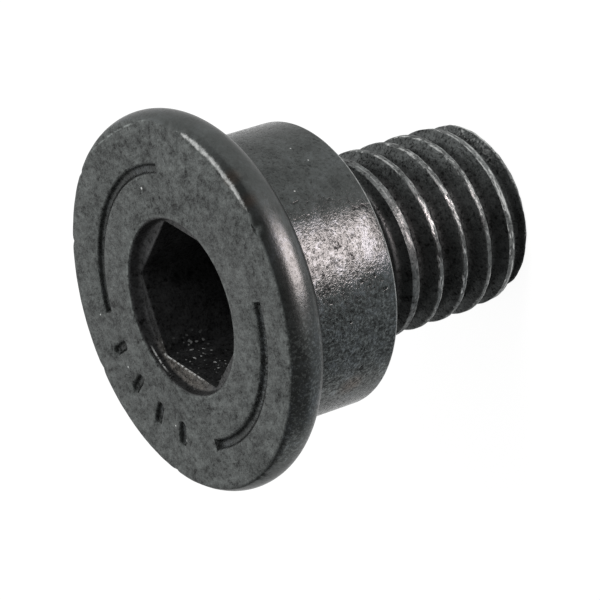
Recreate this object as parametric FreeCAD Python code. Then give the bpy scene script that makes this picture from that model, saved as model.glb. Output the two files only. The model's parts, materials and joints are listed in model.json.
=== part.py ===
# A socket head bolt that holds a brake rotor: a thin round-edged head, a plain shoulder that the
# rotor is centred on, and a short M8 x 1.25 thread. It is forged, turned and rolled in one piece.
# It stands on its threaded end, head up, with its axis on Z and the end's centre at the origin.
# Millimetres, +Z up.
import FreeCAD, Part
import os
from math import cos, pi, radians, sin, sqrt, tan

from FreeCAD import Vector

# Head
head_height = 2.0
rim_diameter = 15.64
rim_round = 1.25
face_edge_break = 0.07
seat_corner = 0.2

# Shoulder and the neck below it
shoulder_diameter = 11.9
shoulder_length = 4.45
shoulder_edge_break = 0.12
neck_diameter = 7.1
neck_length = 0.95
neck_corner = 0.4

# Thread
thread_length = 7.65
thread_diameter = 7.8
thread_pitch = 1.25
thread_depth = 0.67
thread_angle = 60.0
crest_flat = 0.2
end_chamfer = 0.4
groove_height_at_x = 0.72
runout_length = 1.1
runout_turns = 1.1

# Hexagon socket
socket_across_flats = 6.0
socket_depth = 4.7
socket_bottom_angle = 150.0
mouth_diameter = 7.2
mouth_floor_diameter = 7.0
mouth_depth = 0.6
mouth_lip = 0.11

# Grooves and pockets pressed into the face
mark_depth = 0.18
arc_groove_radius = 5.6
arc_groove_width = 0.55
long_arc = (-13.5, 84.0)
short_arc = (-184.0, -96.0)
pocket_circle_radius = 5.65
pocket_length = 1.15
pocket_width = 0.5
pocket_first_angle = 100.0
pocket_spacing = 17.0
pocket_count = 4

# Extra length of every cutting tool past the surface that it starts from, and a helix's fineness
overcut = 0.5
points_per_turn = 16

shoulder_end_z = thread_length + neck_length
seat_z = shoulder_end_z + shoulder_length
face_z = seat_z + head_height
rim_radius = rim_diameter / 2
shoulder_radius = shoulder_diameter / 2
neck_radius = neck_diameter / 2
crest_radius = thread_diameter / 2
root_radius = crest_radius - thread_depth
groove_start_z = groove_height_at_x - thread_pitch
runout_start_z = thread_length - runout_length
rim_centre = Vector(rim_radius - rim_round, 0, seat_z + rim_round)


def lines(points):
    return [Part.LineSegment(a, b).toShape() for a, b in zip(points, points[1:])]


def at(radius, height):
    return Vector(radius, 0, height)


def rim_arc():
    # The rim is one round from the seat, past its widest place, to just under the face's broken edge
    reach = face_z - face_edge_break - rim_centre.z
    top = at(rim_centre.x + sqrt(rim_round**2 - reach**2), rim_centre.z + reach)
    return Part.Arc(rim_centre - Vector(0, 0, rim_round), rim_centre + Vector(rim_round, 0, 0), top)


def turned_blank():
    # Half of the section, from the middle of the thread's end round to the middle of the face
    neck_cone = crest_radius - neck_radius
    outline = lines([
        at(0, 0),
        at(crest_radius - end_chamfer, 0),
        at(crest_radius, end_chamfer),
        at(crest_radius, thread_length - neck_cone),
        at(neck_radius, thread_length),
        at(neck_radius, shoulder_end_z - neck_corner),
        at(neck_radius + neck_corner, shoulder_end_z),
        at(shoulder_radius - shoulder_edge_break, shoulder_end_z),
        at(shoulder_radius, shoulder_end_z + shoulder_edge_break),
        at(shoulder_radius, seat_z - seat_corner),
        at(shoulder_radius + seat_corner, seat_z),
        at(rim_centre.x, seat_z),
    ])
    rim = rim_arc()
    outline.append(rim.toShape())
    outline += lines([rim.EndPoint, at(rim.EndPoint.x - face_edge_break, face_z), at(0, face_z), at(0, 0)])
    section = Part.Face(Part.Wire(outline))
    return section.revolve(Vector(0, 0, 0), Vector(0, 0, 1), 360)


def hexagon_socket():
    # A hexagonal hole with its corners on the X axis, a blunt cone at its bottom and a round recess as mouth
    corner_radius = socket_across_flats / 2 / cos(radians(30))
    corners = [corner_radius * Vector(cos(k * pi / 3), sin(k * pi / 3), 0) for k in range(7)]
    hole = Part.Face(Part.Wire(lines(corners))).extrude(Vector(0, 0, socket_depth + overcut))
    hole.translate(Vector(0, 0, face_z - socket_depth))

    flat_radius = socket_across_flats / 2
    cone_height = flat_radius / tan(radians(socket_bottom_angle / 2))
    bottom = Part.makeCone(0, flat_radius, cone_height)
    bottom.translate(Vector(0, 0, face_z - socket_depth - cone_height))

    mouth_radius = mouth_diameter / 2
    section = Part.makePolygon([
        at(0, face_z - mouth_depth),
        at(mouth_floor_diameter / 2, face_z - mouth_depth),
        at(mouth_radius, face_z - mouth_lip),
        at(mouth_radius + mouth_lip, face_z),
        at(mouth_radius + mouth_lip, face_z + overcut),
        at(0, face_z + overcut),
        at(0, face_z - mouth_depth),
    ])
    mouth = Part.Face(section).revolve(Vector(0, 0, 0), Vector(0, 0, 1), 360)
    return [hole, bottom, mouth]


def groove_corners():
    # One thread groove cut across: how far out each corner is from the root, and how far off the middle
    slope = tan(radians(thread_angle / 2))
    outer_reach = thread_depth + overcut / 2
    root_half = (thread_pitch - crest_flat) / 2 - thread_depth * slope
    outer_half = root_half + outer_reach * slope
    return [(0, -root_half), (outer_reach, -outer_half), (outer_reach, outer_half), (0, root_half)]


def groove_edge(reach, offset):
    # One corner of the groove climbing right-handed, at full depth and then rising out of the blank
    full_turns = (runout_start_z - groove_start_z) / thread_pitch
    steps = round((full_turns + runout_turns) * points_per_turn)
    points = []
    for k in range(steps + 1):
        turns = k * (full_turns + runout_turns) / steps
        leaving = max(0, turns - full_turns) / runout_turns
        radius = root_radius + reach + (thread_depth + overcut / 2) * leaving**2
        angle = 2 * pi * turns
        height = groove_start_z + offset + turns * thread_pitch
        points.append(Vector(radius * cos(angle), radius * sin(angle), height))
    curve = Part.BSplineCurve()
    curve.interpolate(Points=points, Parameters=[k / steps for k in range(steps + 1)])
    return curve.toShape()


def thread_groove():
    edges = [groove_edge(reach, offset) for reach, offset in groove_corners()]
    faces = [Part.makeRuledSurface(a, b, 1) for a, b in zip(edges, edges[1:] + edges[:1])]
    for end in (0, -1):
        corners = [edge.Vertexes[end].Point for edge in edges]
        faces.append(Part.Face(Part.makePolygon(corners + corners[:1])))
    shell = Part.makeShell(faces)
    shell.sewShape()
    return Part.makeSolid(shell)


def arc_groove(first_angle, last_angle):
    # A square-ended groove along a circle on the face
    inner = arc_groove_radius - arc_groove_width / 2
    section = Part.makePolygon([
        at(inner, face_z - mark_depth),
        at(inner + arc_groove_width, face_z - mark_depth),
        at(inner + arc_groove_width, face_z + overcut),
        at(inner, face_z + overcut),
        at(inner, face_z - mark_depth),
    ])
    groove = Part.Face(section).revolve(Vector(0, 0, 0), Vector(0, 0, 1), last_angle - first_angle)
    groove.rotate(Vector(0, 0, 0), Vector(0, 0, 1), first_angle)
    return groove


def face_pocket(angle):
    # A plain round-ended slot that points at the axis
    half = (pocket_length - pocket_width) / 2
    side = pocket_width / 2
    inner = pocket_circle_radius - half
    outer = pocket_circle_radius + half
    outline = Part.Wire([
        Part.LineSegment(Vector(inner, -side, 0), Vector(outer, -side, 0)).toShape(),
        Part.Arc(Vector(outer, -side, 0), Vector(outer + side, 0, 0), Vector(outer, side, 0)).toShape(),
        Part.LineSegment(Vector(outer, side, 0), Vector(inner, side, 0)).toShape(),
        Part.Arc(Vector(inner, side, 0), Vector(inner - side, 0, 0), Vector(inner, -side, 0)).toShape(),
    ])
    pocket = Part.Face(outline).extrude(Vector(0, 0, mark_depth + overcut))
    pocket.translate(Vector(0, 0, face_z - mark_depth))
    pocket.rotate(Vector(0, 0, 0), Vector(0, 0, 1), angle)
    return pocket


def face_marks():
    pockets = [face_pocket(pocket_first_angle + k * pocket_spacing) for k in range(pocket_count)]
    return [arc_groove(*long_arc), arc_groove(*short_arc)] + pockets


def rotor_bolt():
    bolt = turned_blank().cut(thread_groove())
    bolt = bolt.cut(hexagon_socket() + face_marks())
    return bolt.Solids[0]


os.makedirs("parts", exist_ok=True)
rotor_bolt().exportStep("parts/rotor_bolt.step")
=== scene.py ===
# The looks of a brake rotor bolt: a forged head, a turned shoulder and a rolled thread in a black
# oxide finish, with the pits, nicks and worn crests of a used bolt. One piece replaces the plain
# solid and keeps its form. Lengths are metres, written as millimetres times MM.
import json
from math import asin, atan2, ceil, cos, degrees, exp, hypot, pi, radians, sin, tan

import bmesh
import bpy
from bpy.props import FloatProperty, FloatVectorProperty, IntProperty, PointerProperty
from mathutils import Matrix, Vector, noise

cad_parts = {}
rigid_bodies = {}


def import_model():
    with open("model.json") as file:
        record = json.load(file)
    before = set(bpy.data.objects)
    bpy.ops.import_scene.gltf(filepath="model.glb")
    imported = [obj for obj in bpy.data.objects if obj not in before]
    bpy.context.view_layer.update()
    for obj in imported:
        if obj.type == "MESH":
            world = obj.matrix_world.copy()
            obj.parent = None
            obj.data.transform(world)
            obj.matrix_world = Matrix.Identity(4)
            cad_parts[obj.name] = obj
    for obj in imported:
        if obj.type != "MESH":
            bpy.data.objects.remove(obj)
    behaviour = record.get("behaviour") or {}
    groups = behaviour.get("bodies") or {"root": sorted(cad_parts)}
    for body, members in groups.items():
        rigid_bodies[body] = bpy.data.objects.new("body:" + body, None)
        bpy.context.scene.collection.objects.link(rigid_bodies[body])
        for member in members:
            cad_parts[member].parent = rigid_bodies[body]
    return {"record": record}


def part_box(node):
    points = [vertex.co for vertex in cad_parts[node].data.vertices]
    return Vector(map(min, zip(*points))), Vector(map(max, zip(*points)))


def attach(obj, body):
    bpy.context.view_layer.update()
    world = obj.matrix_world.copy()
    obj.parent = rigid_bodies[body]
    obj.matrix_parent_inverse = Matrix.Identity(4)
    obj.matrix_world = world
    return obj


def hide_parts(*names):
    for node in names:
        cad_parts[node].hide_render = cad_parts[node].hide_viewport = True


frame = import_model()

bl_info = {
    "name": "Rotor Bolt",
    "version": (1, 0, 0),
    "blender": (4, 5, 0),
    "location": "3D View > Sidebar > Bolt",
    "description": "Models a worn brake rotor bolt, its black oxide finish and the stage it stands on",
    "category": "Object",
}

MM = 0.001
NODE = "rotor_bolt"

MOUNTS = {mount["name"]: mount for mount in frame["record"]["mounts"]}
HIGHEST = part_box(NODE)[1]
SHOULDER_END = MOUNTS["shoulder_end"]["pos_m"][2]
SEAT = MOUNTS["head_seat"]["pos_m"][2]
SHOULDER_RADIUS = MOUNTS["shoulder"]["dims"]["r_mm"] * MM
THREAD_RADIUS = MOUNTS["thread"]["dims"]["r_mm"] * MM
SOCKET_DEPTH = MOUNTS["key_socket"]["dims"]["length_mm"] * MM


def length(name, description, default):
    return FloatProperty(name=name, description=description, default=default, unit="LENGTH")


def angle(name, description, default):
    return FloatProperty(name=name, description=description, default=radians(default), subtype="ANGLE")


def colour(name, description, default):
    return FloatVectorProperty(name=name, description=description, default=default, subtype="COLOR")


class BoltSizes(bpy.types.PropertyGroup):
    """Sizes of the bolt's forms"""

    face_height: length("Face height", "Height of the head's face over the thread's end", HIGHEST.z)
    rim_radius: length("Rim radius", "Radius of the head at its widest", 7.82 * MM)
    rim_round: length("Rim round", "Radius of the round edge of the head", 1.25 * MM)
    face_edge: length("Face edge", "Radius of the worn edge between rim and face", 0.2 * MM)
    seat_corner: length("Seat corner", "Radius between the shoulder and the head's seat", 0.2 * MM)
    shoulder_break: length("Shoulder edge", "Radius of the shoulder's end edge", 0.12 * MM)
    neck_radius: length("Neck radius", "Radius of the neck below the shoulder", 3.55 * MM)
    neck_length: length("Neck length", "Length of the neck below the shoulder", 1.4 * MM)
    neck_corner: length("Neck corner", "Radius between the neck and the shoulder", 0.4 * MM)
    end_chamfer: length("End chamfer", "Width of the chamfer on the thread's end", 0.42 * MM)
    end_wear: length("End wear", "How far the first crest is worn down", 0.15 * MM)
    pitch: length("Pitch", "Distance from one crest of the thread to the next", 1.25 * MM)
    depth: length("Thread depth", "Depth of the thread groove", 0.67 * MM)
    crest: length("Crest", "Width of a worn crest", 0.23 * MM)
    crest_edge: length("Crest edge", "How deep the rounding of a crest's edges reaches", 0.04 * MM)
    crest_wear: length("Crest wear", "How far a crest's edges wander", 0.028 * MM)
    groove_height: length("Groove height", "Height of the thread groove where it crosses X", 0.82 * MM)
    runout: length("Runout", "Distance before the neck at which the groove starts to rise", 1.65 * MM)
    across_flats: length("Across flats", "Width of the hexagon socket", 6.0 * MM)
    socket_corner: length("Socket corner", "Width of the round in a corner of the socket", 0.05 * MM)
    mouth_radius: length("Mouth radius", "Radius of the socket's round mouth under its lip", 3.6 * MM)
    mouth_floor: length("Mouth floor", "Radius of the mouth over the round at its foot", 3.57 * MM)
    mouth_foot: length("Mouth foot", "Radius between the mouth's wall and its ledge", 0.18 * MM)
    mouth_depth: length("Mouth depth", "Depth of the ledge round the hexagon", 0.5 * MM)
    mouth_lip: length("Mouth lip", "Radius of the mouth's edge on the face", 0.14 * MM)
    groove_radius: length("Groove radius", "Radius of the two arc grooves on the face", 5.65 * MM)
    groove_width: length("Groove width", "Width of the two arc grooves over their lips", 0.68 * MM)
    mark_depth: length("Mark depth", "Depth of the grooves and slots on the face", 0.17 * MM)
    slot_circle: length("Slot circle", "Radius of the circle that the slots lie on", 5.65 * MM)
    slot_length: length("Slot length", "Length of a slot over its lips", 1.32 * MM)
    slot_width: length("Slot width", "Width of a slot over its lips", 0.68 * MM)
    slot_first: angle("First slot", "Angle of the first slot", 100.0)
    slot_spacing: angle("Slot spacing", "Angle from one slot to the next", 17.0)
    slot_count: IntProperty(name="Slots", description="Number of slots", default=4)
    punch: FloatVectorProperty(name="Punch", description="How far off the axis socket and marks were struck",
                               subtype="XYZ", unit="LENGTH", default=(-0.11 * MM, -0.16 * MM, 0))


# Facets of the round forms, how far a cutting tool passes the surface that it starts from, and a
# length that no form of the bolt is as small as
TURNED_STEPS = 384
THREAD_STEPS = 240
SLOT_STEPS = 48
SECTORS = 8
ARC_STEPS = 6
PASS = 0.3 * MM
TINY = 0.001 * MM

# Angles at which the two arc grooves start and end, and turns that the thread takes to run out
LONG_ARC = (-13.5, 84.0)
SHORT_ARC = (-184.0, -96.0)
RUNOUT_TURNS = 1.9

# Nicks in the face's edge: angle and half width in degrees, depth in millimetres
NICKS = (
    (-73.9, 1.3, 0.12), (-161.1, 0.8, 0.05), (-164.2, 0.7, 0.04), (-25.1, 1.2, 0.05), (-31.9, 0.9, 0.06),
    (-37.2, 0.8, 0.05), (-50.0, 0.7, 0.03), (-58.0, 0.9, 0.04), (-118.0, 0.8, 0.04), (-127.5, 0.6, 0.03),
    (35.0, 1.1, 0.04), (61.0, 0.9, 0.05), (103.0, 1.2, 0.04), (148.0, 1.0, 0.05), (-69.0, 0.5, 0.05),
)


class Outline:
    """A chain of edges in the XZ plane that lines and arcs lengthen at its tip."""

    def __init__(self, radius, height):
        self.mesh = bmesh.new()
        self.start = self.tip = self.mesh.verts.new((radius, 0, height))

    def line(self, radius, height, parts=1):
        step = (Vector((radius, 0, height)) - self.tip.co) / parts
        for _ in range(parts):
            self.tip = bmesh.ops.extrude_vert_indiv(self.mesh, verts=[self.tip])["verts"][0]
            bmesh.ops.translate(self.mesh, verts=[self.tip], vec=step)
        return self

    def arc(self, radius, height, turn, steps=ARC_STEPS):
        # Turns the tip about a centre by an angle in degrees, from +X towards +Z
        made = bmesh.ops.spin(self.mesh, geom=[self.tip], cent=(radius, 0, height), axis=(0, -1, 0),
                              angle=radians(turn), steps=steps)
        self.tip = next(item for item in made["geom_last"] if isinstance(item, bmesh.types.BMVert))
        return self

    def swapped(self):
        # Goes on from the other end
        self.start, self.tip = self.tip, self.start
        return self

    def closed(self):
        self.mesh.edges.new((self.tip, self.start))
        return self


def spun(mesh, turn, steps, climb=0.0):
    """Carries a wire round the axis by an angle, and up by a climb."""
    bmesh.ops.spin(mesh, geom=mesh.verts[:] + mesh.edges[:], cent=(0, 0, 0), axis=(0, 0, 1),
                   dvec=(0, 0, climb / steps), angle=turn, steps=steps)


def rotated(mesh, verts, turn):
    bmesh.ops.rotate(mesh, verts=verts, cent=(0, 0, 0), matrix=Matrix.Rotation(turn, 3, "Z"))


def joined(mesh):
    """Closes the seams and holes of a mesh and turns its faces outwards."""
    bmesh.ops.remove_doubles(mesh, verts=mesh.verts[:], dist=0.0001 * MM)
    bmesh.ops.holes_fill(mesh, edges=[edge for edge in mesh.edges if edge.is_boundary], sides=0)
    bmesh.ops.recalc_face_normals(mesh, faces=mesh.faces[:])
    return mesh


def turned(outline, steps=TURNED_STEPS):
    """The solid of an outline that starts and ends on the axis, spun as one sector that is copied round."""
    mesh = outline.mesh
    spun(mesh, 2 * pi / SECTORS, steps // SECTORS)
    sector = mesh.verts[:] + mesh.edges[:] + mesh.faces[:]
    for number in range(1, SECTORS):
        copy = bmesh.ops.duplicate(mesh, geom=sector)["geom"]
        verts = [item for item in copy if isinstance(item, bmesh.types.BMVert)]
        rotated(mesh, verts, 2 * pi * number / SECTORS)
    return joined(mesh)


def wear_face_edge(mesh, sizes):
    """Nicks the edge between the face and the rim and lets it wander a little."""
    inward_reach, reach = 0.45 * MM, 0.3 * MM
    fine, coarse = 0.35 * MM, 1.6 * MM
    for vert in mesh.verts:
        place = vert.co
        radius = hypot(place.x, place.y)
        below = sizes.face_height - place.z
        if radius < sizes.rim_radius - inward_reach or below > reach:
            continue
        nearness = 1 - below / reach
        wander = 0.012 * MM * noise.noise(place / fine) + 0.01 * MM * noise.noise(place / coarse)
        bite = 0
        for at, half_width, depth in NICKS:
            off = (degrees(atan2(place.y, place.x)) - at + 180) % 360 - 180
            bite += depth * MM * exp(-(off / half_width) ** 2)
        inward = (wander + bite) * nearness
        place.x -= inward * place.x / radius
        place.y -= inward * place.y / radius
        place.z -= 0.7 * bite * nearness if below > 0 else 0


def wear_thread_end(mesh, sizes):
    """Leaves the chamfer on the thread's end ragged."""
    reach = 3 * sizes.end_chamfer
    fine, coarse = 0.25 * MM, 0.7 * MM
    for vert in mesh.verts:
        place = vert.co
        radius = hypot(place.x, place.y)
        if radius < THREAD_RADIUS - 1.2 * sizes.end_chamfer or place.z > reach:
            continue
        ragged = 0.035 * noise.noise(place / coarse) + 0.025 * noise.noise(place / fine)
        fade = 1 - place.z / reach
        place.x *= 1 + ragged * MM * fade / radius
        place.y *= 1 + ragged * MM * fade / radius


def turned_blank(sizes):
    """The bolt before its thread, socket and marks."""
    thread_end = SHOULDER_END - sizes.neck_length
    rim_middle = sizes.rim_radius - sizes.rim_round
    rim_height = SEAT + sizes.rim_round
    fillet_height = SHOULDER_END - sizes.neck_corner
    outline = Outline(0, 0)
    outline.line(THREAD_RADIUS - sizes.end_chamfer, 0, 2)
    outline.line(THREAD_RADIUS - sizes.end_wear, sizes.end_chamfer - sizes.end_wear, 3)
    outline.line(THREAD_RADIUS - 0.8 * sizes.end_wear, 2 * sizes.end_chamfer, 3)
    outline.line(THREAD_RADIUS, 4 * sizes.end_chamfer, 3)
    outline.line(THREAD_RADIUS, thread_end - THREAD_RADIUS + sizes.neck_radius, 8)
    outline.line(sizes.neck_radius, thread_end, 2)
    outline.line(sizes.neck_radius, fillet_height, 2)
    outline.arc(sizes.neck_radius + sizes.neck_corner, fillet_height, -90)
    outline.line(SHOULDER_RADIUS - sizes.shoulder_break, SHOULDER_END, 3)
    outline.arc(SHOULDER_RADIUS - sizes.shoulder_break, SHOULDER_END + sizes.shoulder_break, 90)
    outline.line(SHOULDER_RADIUS, SEAT - sizes.seat_corner, 8)
    outline.arc(SHOULDER_RADIUS + sizes.seat_corner, SEAT - sizes.seat_corner, -90)
    outline.line(rim_middle, SEAT)
    edge_height = sizes.face_height - sizes.face_edge
    between = sizes.rim_round - sizes.face_edge
    slope = asin((edge_height - rim_height) / between)
    outline.arc(rim_middle, rim_height, 90 + degrees(slope), 40)
    outline.arc(rim_middle + between * cos(slope), edge_height, 90 - degrees(slope), 8)
    outline.line(0, sizes.face_height, 2)
    mesh = turned(outline)
    wear_face_edge(mesh, sizes)
    wear_thread_end(mesh, sizes)
    return mesh


def append(whole, mesh):
    data = bpy.data.meshes.new("turn")
    mesh.to_mesh(data)
    mesh.free()
    whole.from_mesh(data)
    bpy.data.meshes.remove(data)


def wear_crest(place, sizes, edge_radius, below):
    """Moves a point of the groove along the axis, near the crests only, and differently on each side."""
    reach = 0.1 * MM
    fine, coarse = 0.12 * MM, 0.3 * MM
    grip = max(0, min(1, (hypot(place.x, place.y) - edge_radius + reach) / reach))
    shifted = place + Vector((0, 0, 40 * MM if below else -40 * MM))
    ragged = noise.noise(shifted / coarse) + 0.6 * noise.noise(shifted / fine)
    place.z += grip * sizes.crest_wear * ragged


def thread_groove(sizes):
    """The rolled groove, round at its root, which climbs right-handed and rises out at the neck."""
    slope = tan(radians(30))
    root_radius = THREAD_RADIUS - sizes.depth
    root_half = (sizes.pitch - sizes.crest) / 2 - sizes.depth * slope
    root_round = root_half / slope
    flank_foot = root_radius + root_round / 2
    foot_half = root_round * cos(radians(30))
    edge_radius = THREAD_RADIUS - sizes.crest_edge
    edge_half = foot_half + (edge_radius - flank_foot) * slope
    lip_height = 1.3 * sizes.crest_edge
    lip_half = edge_half + lip_height * 1.5
    lip_radius = edge_radius + lip_height
    start = sizes.groove_height - sizes.pitch

    full_turns = (SHOULDER_END - sizes.neck_length - sizes.runout - start) / sizes.pitch
    whole = bmesh.new()
    for turn in range(ceil(full_turns + RUNOUT_TURNS)):
        outline = Outline(THREAD_RADIUS + PASS, start - lip_half)
        outline.line(lip_radius, start - lip_half)
        outline.line(edge_radius, start - edge_half)
        outline.line(flank_foot, start - foot_half, 3)
        outline.arc(root_radius + root_round, start, -120)
        outline.line(edge_radius, start + edge_half, 3)
        outline.line(lip_radius, start + lip_half)
        outline.line(THREAD_RADIUS + PASS, start + lip_half)
        mesh = outline.closed().mesh
        count = len(mesh.verts)
        steps = min(THREAD_STEPS, round((full_turns + RUNOUT_TURNS - turn) * THREAD_STEPS))
        spun(mesh, 2 * pi * steps / THREAD_STEPS, steps, sizes.pitch * steps / THREAD_STEPS)
        for index, vert in enumerate(mesh.verts):
            vert.co.z += turn * sizes.pitch
            leaving = max(0, turn + index // count / THREAD_STEPS - full_turns) / RUNOUT_TURNS
            wear_crest(vert.co, sizes, edge_radius, index % count < count / 2)
            push = 1 + (sizes.depth + PASS) * leaving**2 / hypot(vert.co.x, vert.co.y)
            vert.co.x *= push
            vert.co.y *= push
        append(whole, mesh)
    return joined(whole)


def hexagon(sizes):
    """The socket's prism, with two corners on X, a small round in each corner and a worn upper edge."""
    corner_radius = sizes.across_flats / 2 / cos(radians(30))
    ledge = sizes.face_height - sizes.mouth_depth
    worn = 0.03 * MM
    tall = SOCKET_DEPTH - sizes.mouth_depth - worn
    place = Matrix.Translation((0, 0, ledge - worn - tall / 2)) @ Matrix.Rotation(pi / 2, 4, "Z")
    mesh = bmesh.new()
    bmesh.ops.create_cone(mesh, cap_ends=True, segments=6, radius1=corner_radius, radius2=corner_radius,
                          depth=tall, matrix=place)
    upright = [edge for edge in mesh.edges if abs(edge.verts[0].co.z - edge.verts[1].co.z) > tall / 2]
    bmesh.ops.bevel(mesh, geom=upright, offset=sizes.socket_corner, offset_type="OFFSET", segments=4,
                    profile=0.5, affect="EDGES", material=-1)
    mesh.normal_update()
    cap = next(face for face in mesh.faces if face.normal.z > 0.9)
    past_ledge = 0.01 * MM
    for climb, spread in ((worn, worn), (past_ledge, 0)):
        cap = bmesh.ops.extrude_discrete_faces(mesh, faces=[cap])["faces"][0]
        bmesh.ops.translate(mesh, verts=cap.verts[:], vec=(0, 0, climb))
        bmesh.ops.scale(mesh, verts=cap.verts[:], vec=[1 + spread * 2 / sizes.across_flats] * 2 + [1])
    return mesh


def drilled_bottom(sizes):
    """The blunt cone that the drill left at the socket's bottom."""
    bottom = sizes.face_height - SOCKET_DEPTH
    clear_of_flats = 0.05 * MM
    radius = sizes.across_flats / 2 - clear_of_flats
    outline = Outline(0, bottom - radius * tan(radians(15)))
    outline.line(radius, bottom).line(radius, bottom + PASS).line(0, bottom + PASS)
    return turned(outline, 96)


def mouth(sizes):
    """The socket's round mouth, a shallow recess with a rounded lip and a ledge round the hexagon."""
    foot_middle = sizes.mouth_floor - sizes.mouth_foot
    ledge = sizes.face_height - sizes.mouth_depth
    lip_middle = sizes.mouth_radius + sizes.mouth_lip
    # The lip's round ends just above the face, so that the cut crosses it
    lip_height = sizes.face_height - 0.93 * sizes.mouth_lip
    outline = Outline(0, ledge)
    outline.line(foot_middle, ledge)
    outline.arc(foot_middle, ledge + sizes.mouth_foot, 90, 8)
    outline.line(sizes.mouth_radius, lip_height)
    outline.arc(lip_middle, lip_height, -90)
    outline.line(lip_middle, sizes.face_height + PASS).line(0, sizes.face_height + PASS)
    return turned(outline)


def mark_wall(outline, sizes, middle, width, side):
    """Half of a mark's section: a round bottom that turns over into a lip and goes on above the face."""
    over_face = 0.008 * MM
    depth = sizes.mark_depth + over_face
    bottom = sizes.face_height - sizes.mark_depth
    slope = 2 * atan2(depth, width / 2)
    round_radius = width / 4 / sin(slope)
    outline.arc(middle, bottom + round_radius, side * degrees(slope), 6)
    lip_height = bottom + round_radius - 2 * round_radius * cos(slope)
    outline.arc(middle + side * width / 2, lip_height, -side * degrees(slope), 6)
    outline.line(middle + side * width / 2, sizes.face_height + PASS)


def arc_groove(sizes, first, last):
    """A soft groove along a circle on the face, with sloping ends."""
    outline = Outline(sizes.groove_radius, sizes.face_height - sizes.mark_depth)
    mark_wall(outline, sizes, sizes.groove_radius, sizes.groove_width, 1)
    mark_wall(outline.swapped(), sizes, sizes.groove_radius, sizes.groove_width, -1)
    count = len(outline.mesh.verts)
    steps = round((last - first) * TURNED_STEPS / 360)
    mesh = outline.closed().mesh
    rotated(mesh, mesh.verts[:], radians(first))
    spun(mesh, radians(last - first), steps)
    depth = sizes.mark_depth
    for index, vert in enumerate(mesh.verts):
        at_end = {0: -1, steps: 1}.get(index // count, 0)
        lift = max(0, (vert.co.z - sizes.face_height + depth) / depth)
        slide = at_end * (lift - 0.6) * 0.2 * MM
        vert.co = Matrix.Rotation(slide / sizes.groove_radius, 3, "Z") @ vert.co
    return joined(mesh)


def face_slot(sizes, number):
    """A plain round-ended slot that points at the axis."""
    outline = Outline(0, sizes.face_height - sizes.mark_depth)
    mark_wall(outline, sizes, 0, sizes.slot_width, 1)
    outline.line(0, sizes.face_height + PASS)
    mesh = turned(outline, SLOT_STEPS)
    rotated(mesh, mesh.verts[:], pi / SLOT_STEPS)
    half = (sizes.slot_length - sizes.slot_width) / 2
    for vert in mesh.verts:
        side = (vert.co.x > TINY) - (vert.co.x < -TINY)
        vert.co.x += side * half + sizes.slot_circle
    rotated(mesh, mesh.verts[:], sizes.slot_first + number * sizes.slot_spacing)
    return mesh


def solid(name, mesh, collection):
    data = bpy.data.meshes.new(name)
    mesh.to_mesh(data)
    mesh.free()
    made = bpy.data.objects.new(name, data)
    collection.objects.link(made)
    return made


def carve(body, tools):
    """Cuts every tool out of the body and keeps the result as the body's mesh."""
    shelf = bpy.data.collections.new("tools")
    bpy.context.scene.collection.children.link(shelf)
    for number, tool in enumerate(tools):
        solid(f"tool_{number}", tool, shelf)
    cut = body.modifiers.new("Cut", "BOOLEAN")
    cut.operation = "DIFFERENCE"
    cut.solver = "MANIFOLD"
    cut.operand_type = "COLLECTION"
    cut.collection = shelf
    bpy.context.view_layer.update()
    carved = bpy.data.meshes.new_from_object(body.evaluated_get(bpy.context.evaluated_depsgraph_get()))
    body.modifiers.clear()
    body.data = carved
    for tool in list(shelf.objects):
        bpy.data.objects.remove(tool)
    bpy.data.collections.remove(shelf)


class Value:
    """A shader socket that takes part in sums, so that an expression adds its own Math nodes."""

    def __init__(self, finish, socket):
        self.finish = finish
        self.socket = socket

    def math(self, operation, first, second=0.0):
        return self.finish.node("Math", {"operation": operation}, {0: first, 1: second})

    def __add__(self, other):
        return self.math("ADD", self, other)

    def __sub__(self, other):
        return self.math("SUBTRACT", self, other)

    def __rsub__(self, other):
        return self.math("SUBTRACT", other, self)

    def __mul__(self, other):
        return self.math("MULTIPLY", self, other)

    def __pow__(self, other):
        return self.math("POWER", self, other)

    def __abs__(self):
        return self.math("ABSOLUTE", self)

    def over(self, other):
        return self.math("MAXIMUM", self, other)

    __radd__ = __add__
    __rmul__ = __mul__


class Finish:
    """A node material and the few ways in which its nodes are added."""

    def __init__(self, tree):
        self.tree = tree
        tree.nodes.clear()

    def node(self, kind, settings=None, sockets=None, output=0):
        made = self.tree.nodes.new("ShaderNode" + kind)
        for name, setting in (settings or {}).items():
            setattr(made, name, setting)
        for name, value in (sockets or {}).items():
            if isinstance(value, Value):
                self.tree.links.new(value.socket, made.inputs[name])
            else:
                made.inputs[name].default_value = value
        return Value(self, made.outputs[output] if made.outputs else None)

    def rise(self, value, low, high):
        # From 0 at low to 1 at high, and falling where high is the lower of the two
        return self.node("MapRange", {"interpolation_type": "SMOOTHSTEP"},
                         {"Value": value, "From Min": low, "From Max": high})

    def grain(self, place, per_mm, detail=2.0, roughness=0.5):
        return self.node("TexNoise", sockets={"Vector": place, "Scale": per_mm, "Detail": detail,
                                              "Roughness": roughness})

    def blend(self, mask, under, over):
        return self.node("Mix", {"data_type": "RGBA"}, {0: mask, 6: under, 7: over}, 2)

    def xyz(self, vector):
        split = self.node("SeparateXYZ", sockets={0: vector})
        return [Value(self, out) for out in split.socket.node.outputs]


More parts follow.
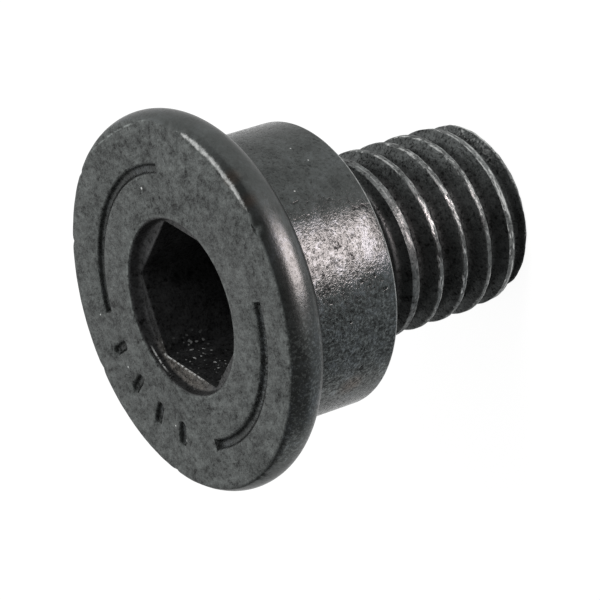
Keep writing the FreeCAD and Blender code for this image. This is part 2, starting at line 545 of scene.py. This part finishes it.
class BoltLooks(bpy.types.PropertyGroup):
    """Colours of the bolt's finish"""

    oxide: colour("Oxide", "Black oxide on the head and the shoulder", (0.064, 0.069, 0.067))
    flank: colour("Flank", "Oxide between the crests of the thread", (0.066, 0.07, 0.069))
    # Painted shade: the socket's oxide is given a much darker colour than the rest
    inside: colour("Inside", "Oxide in the socket", (0.031, 0.0315, 0.032))
    bare: colour("Bare steel", "Steel where the oxide is worn off", (0.58, 0.59, 0.58))
    stain: colour("Stain", "Brown stain of old oil", (0.085, 0.062, 0.048))
    bloom: colour("Bloom", "Bluish bloom of the oxide", (0.064, 0.071, 0.077))
    film: colour("Film", "Grey-brown film of dirt on the ledge in the socket", (0.115, 0.106, 0.095))


# Marks of use: angle in degrees, radius, height and reach in millimetres
PITS = (
    (-8.0, 5.06, 15.05, 0.1), (29.0, 4.09, 15.05, 0.12), (-43.5, 5.2, 15.05, 0.09),
    (-41.0, 5.35, 15.05, 0.07), (-60.0, 6.55, 15.05, 0.06), (152.0, 6.6, 15.05, 0.06),
    (-172.0, 4.6, 15.05, 0.08), (-58.0, 5.95, 11.9, 0.05), (-101.0, 5.95, 10.2, 0.09),
    (-87.0, 5.95, 12.1, 0.08), (-92.0, 5.95, 11.6, 0.07),
)
FLECKS = (
    (14.6, 5.4, 15.05, 0.05), (-0.5, 4.85, 15.05, 0.07), (140.6, 5.66, 14.87, 0.06),
    (148.0, 5.5, 15.05, 0.05), (85.8, 6.19, 15.05, 0.045), (110.0, 5.58, 15.05, 0.05),
    (155.5, 5.86, 15.05, 0.05), (-60.0, 5.95, 11.5, 0.045), (-39.0, 5.95, 10.2, 0.04),
    (-48.0, 5.95, 10.0, 0.04),
)
STAINS = ((-147.0, 5.95, 10.4, 0.8), (-57.0, 7.66, 14.85, 0.5), (-66.0, 7.68, 14.8, 0.45))

# The bolt's forms in millimetres, the unit of the finish
END = SHOULDER_END / MM
CREST = THREAD_RADIUS / MM
SHOULDER = SHOULDER_RADIUS / MM


class Surface(Finish):
    """The nodes of the bolt's finish, with a point's place in millimetres and its angle in degrees."""

    def __init__(self, tree, sizes):
        super().__init__(tree)
        local = self.node("TexCoord", output=3)
        self.place = self.node("Mapping", sockets={"Vector": local, "Scale": (1 / MM, 1 / MM, 1 / MM)})
        self.x, self.y, self.z = self.xyz(self.place)
        self.radius = (self.x * self.x + self.y * self.y) ** 0.5
        self.turn = self.node("Math", {"operation": "ARCTAN2"}, {0: self.y, 1: self.x}) * degrees(1)
        self.face = sizes.face_height / MM
        self.ledge = self.face - sizes.mouth_depth / MM

        # Measured from the axis of the punch
        self.off_x, self.off_y = self.x - sizes.punch.x / MM, self.y - sizes.punch.y / MM
        self.punched = (self.off_x * self.off_x + self.off_y * self.off_y) ** 0.5

        # Masks of the bolt's parts; calm is the smoother side of the shoulder, tip the scuffed thread end
        self.on_thread = self.rise(self.z, END - 0.02, END - 0.1)
        self.on_face = self.rise(self.z, self.face - 0.04, self.face - 0.01)
        self.in_socket = self.rise(self.punched - self.around(-25, 55) * 0.07, 3.68, 3.6)
        self.in_socket = self.in_socket * self.rise(self.z, END + 0.1, END + 0.5)
        self.on_side = (1 - self.on_thread) * (1 - self.on_face) * (1 - self.in_socket)
        self.on_rim = self.on_side * self.rise(self.radius, SHOULDER + 0.3, SHOULDER + 0.6)
        self.root = self.rise(self.radius, CREST - 0.36, CREST - 0.5) * self.on_thread
        self.calm = self.on_side * self.around(-42, 42)
        self.tip = self.rise(self.z, 0.9, 0.4) * self.around(-28, 50)

        # Grains from coarse to fine
        self.patches = self.grain(self.place, 0.5, 2.0, 0.6)
        self.mottle = self.grain(self.place, 1.4, 4.5, 1.0) - 0.5
        self.wear = self.grain(self.place, 2.4, 3.0, 0.7)
        self.fray = self.grain(self.place, 6.0, 2.0, 0.7)
        self.grit = self.grain(self.place, 8.0, 2.0, 0.8) - 0.5

    def ring(self, across, at_radius, at_height, reach):
        # A line round the axis, or round the punch, with the distance across from either
        off = ((across - at_radius) ** 2 + (self.z - at_height) ** 2) ** 0.5
        return self.rise(off, reach, reach * 0.5)

    def around(self, middle, reach):
        # A sector on either side of an angle
        return self.rise(abs(self.turn - middle), reach, reach * 0.4)

    def spots(self, places, softness=0.5):
        # Round marks, 1 within and 0 outside
        mask = 0.0
        for angle_at, radius_at, height_at, reach in places:
            middle = (radius_at * cos(radians(angle_at)), radius_at * sin(radians(angle_at)), height_at)
            off = self.node("VectorMath", {"operation": "DISTANCE"}, {0: self.place, 1: middle}, 1)
            mask = self.rise(off, reach, reach * softness) + mask
        return mask


def thread_wear_and_highlight(s, sizes):
    """The band of the crests, and the bare steel on the crests and on the thread's end; on the crests it
    gathers where highlights fall, a painted highlight as well as wear.
    """
    pitch = sizes.pitch / MM
    climbed = (s.z - s.turn * (pitch / 360) - sizes.groove_height / MM) * (MM / sizes.pitch)
    climb = s.node("Math", {"operation": "FRACT"}, {0: climbed})
    off_crest = (climb - 0.5) * pitch + (s.fray - 0.5) * 0.07
    on_crest = s.on_thread * s.rise(s.radius, CREST - 0.45, CREST - 0.35) * s.rise(s.z, 0, 0.02)
    on_top = s.rise(s.radius, CREST - 0.04, CREST - 0.02)
    band = s.rise(abs(off_crest), 0.16, 0.11).over(on_top) * on_crest

    # Streaks along the crests: the flat top, the edge towards the tip and the edge towards the neck. Each
    # gathers in a sector, near -82°, -150° and -48°, where it is a painted highlight as well as wear.
    along = s.node("CombineXYZ", sockets={0: off_crest * 1.3, 1: s.turn * 0.022, 2: climbed - climb})
    streaks = s.grain(along, 5.5, 2.0, 0.7)
    top = s.rise(abs(off_crest), 0.14, 0.1) * on_crest
    bare = top * (0.05 + s.rise(streaks + s.around(-82, 20) * 0.16, 0.57, 0.72) * 0.8)
    tip_side = s.rise(abs(off_crest + 0.1), 0.05, 0.02) * on_crest
    bare = bare.over(tip_side * (0.1 + s.rise(streaks + s.around(-150, 28) * 0.2, 0.44, 0.6) * 0.55))
    neck_side = s.rise(abs(off_crest - 0.1), 0.05, 0.02) * on_crest
    bare = bare.over(neck_side * s.rise(streaks + s.around(-48, 45) * 0.12, 0.54, 0.66) * 0.7)
    bare = bare * (1 - s.rise(s.z, 5.4, 6.0) * 0.55)

    # The ridge where the groove's flank meets the chamfer, and scuffs beside it
    off_flank = (climb - 1) * pitch + 0.51 - (CREST - s.radius) * 0.577
    ridge = s.rise(abs(off_flank), 0.1, 0.04)
    ridge = ridge * s.rise(abs(s.radius - s.z - CREST + sizes.end_chamfer / MM), 0.12, 0.05)
    ridge = ridge * (0.12 + s.rise(s.wear * 0.5 + s.fray + s.around(-48, 50) * 0.3, 0.86, 0.98) * 0.88)
    scuffs = s.tip * s.rise(s.fray + s.wear * 0.5, 0.78, 0.88)
    return band, bare.over(ridge * 0.8).over(scuffs * 0.35)


def edge_wear_and_highlight(s):
    """The bare steel on the edges of the face, the shoulder, the mouth and the hexagon; along the face's edge
    near -50° it is a painted highlight as well as wear.
    """
    # The face's edge: bare steel kept to the sector near -50°, a painted highlight line as well as wear
    off_face = ((s.radius - 7.55) ** 2 + (s.z - 15.0) ** 2) ** 0.5
    off_face = off_face + (s.fray - 0.5) * 0.2 + (1 - s.around(-50, 28)) * 0.2
    face_edge = s.rise(off_face, 0.13, 0.03) * (0.35 + s.rise(s.wear, 0.38, 0.6) * 0.55)
    face_edge = face_edge * s.rise(s.z, 14.7, 14.8)
    end_edge = s.ring(s.radius, SHOULDER - 0.04, END + 0.04, 0.09) * (0.4 + s.rise(s.wear, 0.42, 0.6) * 0.5)
    streak = s.ring(s.punched, 3.56, 14.87, 0.06) * s.around(123, 13) * s.rise(s.fray, 0.42, 0.52)

    # How far a point is off the socket's axis, measured square to the nearest flat
    apothem = abs(s.off_y).over(abs(s.off_x * 0.866 + s.off_y * 0.5))
    apothem = apothem.over(abs(s.off_x * 0.866 - s.off_y * 0.5))
    socket_edge = s.rise(abs(apothem - 3.02) + (s.fray - 0.5) * 0.16, 0.07, 0.03)
    socket_edge = socket_edge * s.rise(abs(s.z - s.ledge), 0.06, 0.02)
    socket_edge = socket_edge * s.rise(s.fray + s.around(145, 42) * 0.26, 0.7, 0.84)
    return (face_edge * 0.72).over(end_edge * 0.7).over(socket_edge * 0.65).over(streak)


def dust(s):
    """Light grains on the socket's walls, few of them near the ledge."""
    glints = s.rise(s.grain(s.place, 6.5, 0.0), 0.71, 0.78) * s.in_socket * s.around(150, 42)
    return glints * s.rise(s.z, 12.2, 13.0) * (0.15 + s.rise(s.z, s.ledge - 0.2, s.ledge - 0.8) * 0.85)


def oxide_tone(s, crest_band, pits, pitted):
    """How light the oxide is against its plain colour, with painted light and painted shade in it."""
    squeezed = s.node("Mapping", sockets={"Vector": s.place, "Scale": (1, 0.62, 1)})
    speckle = s.mottle * (3.8 - s.on_rim * 1.6) * (1 - s.on_face) * (1 - s.calm * 0.4)
    speckle = speckle + (s.grain(squeezed, 2.0, 4.5, 1.0) - 0.5) * s.on_face * 5.0
    # Painted glints: light dots laid only on the shoulder's dark side, near -128°
    painted_glints = s.rise(s.grit, 0.03, 0.1) * s.around(-128, 36) * s.on_side
    tone = 1.05 + speckle + (s.patches - 0.5) * 0.9 - pits * 0.4 - pitted * 0.5 + painted_glints * 1.2

    # A curved scrape across the face, part of a circle whose middle is off the bolt's axis
    scrape = ((s.x + 6.72) ** 2 + (s.y + 0.79) ** 2) ** 0.5 - 14.09
    scrape = s.rise(abs(scrape), 0.045, 0.02) * s.on_face * s.around(4, 24) * s.rise(s.wear, 0.42, 0.5)
    # Painted light: the crest band is brightened, most of all towards -48°, and so is the thread's side
    # towards -62°; a ring round the mouth's lip is a painted highlight. The scrape is a real mark, and the
    # thread's end is brightened a little.
    painted_light_and_scrape = crest_band * (0.3 + s.around(-48, 26) * 0.4) + s.on_thread * s.around(-62, 40) * 0.34
    painted_light_and_scrape = painted_light_and_scrape + s.tip * 0.1 + scrape * 1.2 + s.ring(s.punched, 3.7, 15.02, 0.12) * 0.25
    tone = (tone * (1 + painted_light_and_scrape)).over(0.15)

    # Painted shade: the grooves and slots on the face, the thread's roots and the socket below its ledge are
    # darkened.
    shaded_marks = s.rise(s.z, s.face, s.face - 0.14) * s.rise(s.z, 14.6, 14.7)
    shaded_marks = shaded_marks * s.rise(s.punched, 4.6, 4.7) * s.rise(s.punched, 6.7, 6.6)
    shaded_socket_depth = s.in_socket * s.rise(s.z, s.ledge, s.ledge - 0.25)
    return tone * (1 - shaded_marks * 0.45) * (1 - s.root * 0.2) * (1 - shaded_socket_depth * 0.22)


def oxide_colour(s, looks, tone, bare):
    """The oxide with its bloom and stains, the painted shade in the socket, and the bare steel over it."""
    base = s.blend(s.on_thread, (*looks.oxide, 1), (*looks.flank, 1))
    # The socket takes its darker colour, painted shade
    base = s.blend(s.in_socket, base, (*looks.inside, 1))
    bloom = s.rise(s.patches + s.mottle * 2, 0.54, 0.66) * s.on_side * (0.5 - s.calm * 0.35)
    base = s.blend(bloom, base, (*looks.bloom, 1))
    base = s.blend(s.spots(STAINS, 0.1) * 0.5, base, (*looks.stain, 1))
    film = s.rise(s.z, s.ledge - 0.05, s.ledge - 0.02) * s.rise(s.z, s.ledge + 0.14, s.ledge + 0.04)
    film = film * s.in_socket * s.around(145, 40) * (0.45 + s.rise(s.wear, 0.36, 0.6) * 0.45)
    base = s.blend(film, base, (*looks.film, 1))
    grey = s.node("CombineXYZ", sockets={0: tone, 1: tone, 2: tone})
    base = s.node("Mix", {"data_type": "RGBA", "blend_type": "MULTIPLY"}, {0: 1.0, 6: base, 7: grey}, 2)
    return s.blend(bare, base, (*looks.bare, 1))


def black_oxide(looks, sizes):
    material = bpy.data.materials.new("black_oxide")
    material.use_nodes = True
    s = Surface(material.node_tree, sizes)
    crest_band, bare = thread_wear_and_highlight(s, sizes)
    # Bare steel, partly painted highlight on the crests and the face's edge
    bare = bare.over(edge_wear_and_highlight(s)).over((s.spots(FLECKS) + dust(s)) * 0.8)

    rough = (1 - s.on_rim * 0.68) * (1 - s.calm * 0.4) * (1 - s.rise(s.z, 10.8, 9.2) * s.on_side * 0.3)
    pitted = s.rise(s.grit, -0.03, -0.1) * rough * (1 - s.on_face * 0.6)
    blots = s.rise(s.grain(s.place, 3.4, 0.0), 0.27, 0.22) * (1 - s.on_rim)
    pits = blots.over(s.spots(PITS))

    base = oxide_colour(s, looks, oxide_tone(s, crest_band, pits, pitted), bare)
    roughness = 0.3 - s.on_side * 0.14 + s.on_rim * 0.12 + s.on_thread * 0.12 + s.in_socket * 0.15
    roughness = roughness + pitted * 0.26 + s.root * 0.3 - bare * 0.08
    height = (s.grit + s.mottle) * rough - pits * 0.3
    bump = s.node("Bump", sockets={"Strength": 1.0, "Distance": 0.02 * MM, "Height": height})
    shader = s.node("BsdfPrincipled", sockets={
        "Base Color": base, "Roughness": roughness, "Metallic": 0.8 - s.in_socket * 0.5, "Normal": bump,
        "Specular Tint": (0.62, 0.62, 0.62, 1)})
    s.node("OutputMaterial", sockets={"Surface": shader})
    return material


class BOLT_OT_body(bpy.types.Operator):
    """Models the bolt and gives it its finish"""

    bl_idname = "rotor_bolt.body"
    bl_label = "Bolt"

    def execute(self, context):
        sizes = context.scene.bolt_sizes
        body = solid("bolt", turned_blank(sizes), context.scene.collection)
        tools = [hexagon(sizes), drilled_bottom(sizes), mouth(sizes)]
        tools += [arc_groove(sizes, *LONG_ARC), arc_groove(sizes, *SHORT_ARC)]
        tools += [face_slot(sizes, number) for number in range(sizes.slot_count)]
        for tool in tools:
            bmesh.ops.translate(tool, verts=tool.verts[:], vec=sizes.punch)
        carve(body, [thread_groove(sizes)] + tools)
        body.data.shade_smooth()
        body.data.set_sharp_from_angle(angle=radians(32))
        for polygon in body.data.polygons:
            # The flat end of the thread keeps its own normals
            polygon.use_smooth = polygon.center.z > 2 * TINY
        body.data.materials.clear()
        body.data.materials.append(black_oxide(context.scene.bolt_looks, sizes))
        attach(body, "root")
        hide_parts(NODE)
        return {"FINISHED"}


class StageSettings(bpy.types.PropertyGroup):
    """The camera, the lamps and the floor"""

    azimuth: angle("Azimuth", "Direction from which the camera looks, about Z", 2.2)
    elevation: angle("Elevation", "How far the camera looks down", 32.208)
    roll: angle("Roll", "Turn of the camera about its own line of sight", 108.18)
    aim: FloatVectorProperty(name="Aim", description="Point at the picture's centre", subtype="XYZ",
                             unit="LENGTH", default=(-1.2 * MM, -2.548 * MM, 11.082 * MM))
    distance: length("Distance", "From the camera to the aim", 132.41 * MM)
    lens: FloatProperty(name="Lens", description="Focal length for a 36 mm sensor", default=201.09,
                        unit="CAMERA")
    floor: length("Floor", "Width of the floor", 2.0)
    key_azimuth: angle("Key azimuth", "Direction of the key lamp round Z, from X", -28)
    key_elevation: angle("Key elevation", "Height of the key lamp over the horizon", 42)
    key_distance: length("Key distance", "From the aim to the key lamp", 250 * MM)
    key_size: length("Key size", "Width of the key lamp", 90 * MM)
    key_power: FloatProperty(name="Key power", description="Power of the key lamp", default=0.3, unit="POWER")
    tent: length("Tent", "Radius of the light tent that the gloss shows", 0.6)
    bright_azimuth: angle("Bright azimuth", "Direction of the tent's bright side round Z, from X", 56)
    bright_elevation: angle("Bright elevation", "Height of the tent's bright side over the horizon", 33)
    sky: FloatProperty(name="Sky", description="Strength of the even light from the sky", default=0.6)


# Cards on the floor round the bolt: first and last angle, near and far radius in millimetres, tint, strength
CARDS = {
    "light_card": (-99.5, -68.3, 17, 66, (1, 0.85, 0.86), 12.6),
    "dark_card": (-181, -103, 8, 28, (0.96, 1, 1.04), 0.62),
    "far_card": (-181, -125, 28, 600, (1, 1, 1), 0.12),
    "middle_card": (-125, -48, 60, 600, (1, 0.98, 0.98), 0.32),
}


def camera(stage):
    across = Vector((cos(stage.azimuth), sin(stage.azimuth), 0))
    back = Matrix.Rotation(stage.azimuth, 3, "Z") @ Vector((0, -cos(stage.elevation), sin(stage.elevation)))
    level_up = back.cross(across)
    up = level_up * cos(stage.roll) + across * sin(stage.roll)
    right = up.cross(back)
    turn = Matrix((right, up, back)).transposed()
    data = bpy.data.cameras.new("camera")
    data.lens = stage.lens
    data.clip_start = 10 * MM
    made = bpy.data.objects.new("camera", data)
    made.matrix_world = Matrix.Translation(Vector(stage.aim) + back * stage.distance) @ turn.to_4x4()
    bpy.context.scene.collection.objects.link(made)
    bpy.context.scene.camera = made


def sees_background(f):
    # 1 for the rays that see the white background, also in metal and glass
    rays = f.node("LightPath").socket.node.outputs
    camera_ray, glossy_ray = Value(f, rays["Is Camera Ray"]), Value(f, rays["Is Glossy Ray"])
    return camera_ray.over(glossy_ray).over(Value(f, rays["Is Transmission Ray"]))


def floor(stage):
    mesh = bmesh.new()
    bmesh.ops.create_grid(mesh, x_segments=1, y_segments=1, size=stage.floor / 2,
                          matrix=Matrix.Translation((0, 0, -0.01 * MM)))
    made = solid("floor", mesh, bpy.context.scene.collection)
    material = bpy.data.materials.new("floor")
    material.use_nodes = True
    f = Finish(material.node_tree)
    paint = f.node("BsdfDiffuse", sockets={"Color": (0.8, 0.8, 0.8, 1)})
    glow = f.node("Emission", sockets={"Color": (1, 1, 1, 1), "Strength": 1.15})
    shader = f.node("MixShader", sockets={0: sees_background(f) * 0.8, 1: paint, 2: glow})
    f.node("OutputMaterial", sockets={"Surface": shader})
    made.data.materials.append(material)


def reflector(name, mesh):
    """An object that only the bolt's gloss shows, and the nodes of its material."""
    made = solid(name, mesh, bpy.context.scene.collection)
    material = bpy.data.materials.new(name)
    material.use_nodes = True
    made.data.materials.append(material)
    made.visible_camera = False
    made.visible_diffuse = False
    made.visible_shadow = False
    return Finish(material.node_tree)


def card(name, level, first, last, near, far, tint, strength):
    """A card in the shape of a fan on the floor, higher than the cards before it."""
    lift = (0.1 + 0.05 * level) * MM
    mesh = Outline(near * MM, lift).line(far * MM, lift).mesh
    rotated(mesh, mesh.verts[:], radians(first))
    spun(mesh, radians(last - first), 24)
    f = reflector(name, mesh)
    glow = f.node("Emission", sockets={"Color": (*tint, 1), "Strength": strength})
    f.node("OutputMaterial", sockets={"Surface": glow})


def tent(stage):
    """A dome round the stage, bright on the far side and dark behind the camera."""
    mesh = bmesh.new()
    bmesh.ops.create_uvsphere(mesh, u_segments=48, v_segments=24, radius=stage.tent)
    bmesh.ops.bisect_plane(mesh, geom=mesh.verts[:] + mesh.edges[:] + mesh.faces[:], plane_co=(0, 0, MM),
                           plane_no=(0, 0, 1), clear_inner=True)
    bmesh.ops.reverse_faces(mesh, faces=mesh.faces[:])
    f = reflector("tent", mesh)
    bright = Matrix.Rotation(stage.bright_azimuth, 3, "Z") @ Vector((cos(stage.bright_elevation), 0,
                                                                     sin(stage.bright_elevation)))
    towards = f.node("VectorMath", {"operation": "NORMALIZE"}, {0: f.node("TexCoord", output=3)})
    facing = f.node("VectorMath", {"operation": "DOT_PRODUCT"}, {0: towards, 1: bright}, 1)
    glow = f.node("Emission", sockets={"Strength": 0.08 + 1.32 * f.rise(facing, 0.1, 1.0)})
    f.node("OutputMaterial", sockets={"Surface": glow})


def key_lamp(stage):
    data = bpy.data.lights.new("key", "AREA")
    data.size = stage.key_size
    data.energy = stage.key_power
    made = bpy.data.objects.new("key", data)
    towards = Vector((cos(stage.key_azimuth) * cos(stage.key_elevation),
                      sin(stage.key_azimuth) * cos(stage.key_elevation), sin(stage.key_elevation)))
    made.location = Vector(stage.aim) + towards * stage.key_distance
    made.rotation_euler = towards.to_track_quat("Z", "Y").to_euler()
    made.visible_glossy = False
    bpy.context.scene.collection.objects.link(made)


def sky(stage):
    world = bpy.data.worlds.new("sky")
    world.use_nodes = True
    bpy.context.scene.world = world
    f = Finish(world.node_tree)
    seen = sees_background(f)
    glow = f.node("Background", sockets={"Color": (1, 1, 1, 1), "Strength": seen + (1 - seen) * stage.sky})
    f.node("OutputWorld", sockets={"Surface": glow})


class BOLT_OT_stage(bpy.types.Operator):
    """Makes the camera, the floor and the light"""

    bl_idname = "rotor_bolt.stage"
    bl_label = "Stage"

    def execute(self, context):
        stage = context.scene.bolt_stage
        camera(stage)
        floor(stage)
        for level, (name, shape) in enumerate(CARDS.items()):
            card(name, level, *shape)
        tent(stage)
        key_lamp(stage)
        sky(stage)
        context.scene.view_settings.view_transform = "Standard"
        return {"FINISHED"}


class BOLT_PT_panel(bpy.types.Panel):
    """Lists the steps that make the bolt and its stage"""

    bl_idname = "BOLT_PT_panel"
    bl_label = "Rotor Bolt"
    bl_space_type = "VIEW_3D"
    bl_region_type = "UI"
    bl_category = "Bolt"

    def draw(self, context):
        for operator in (BOLT_OT_stage, BOLT_OT_body):
            self.layout.operator(operator.bl_idname)


CLASSES = (BoltSizes, BoltLooks, StageSettings, BOLT_OT_stage, BOLT_OT_body, BOLT_PT_panel)


def register():
    for each in CLASSES:
        bpy.utils.register_class(each)
    bpy.types.Scene.bolt_sizes = PointerProperty(type=BoltSizes)
    bpy.types.Scene.bolt_looks = PointerProperty(type=BoltLooks)
    bpy.types.Scene.bolt_stage = PointerProperty(type=StageSettings)


def unregister():
    del bpy.types.Scene.bolt_stage
    del bpy.types.Scene.bolt_looks
    del bpy.types.Scene.bolt_sizes
    for each in reversed(CLASSES):
        bpy.utils.unregister_class(each)


def main():
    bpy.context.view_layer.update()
    register()
    bpy.ops.rotor_bolt.stage()
    bpy.ops.rotor_bolt.body()


if __name__ == "__main__":
    main()
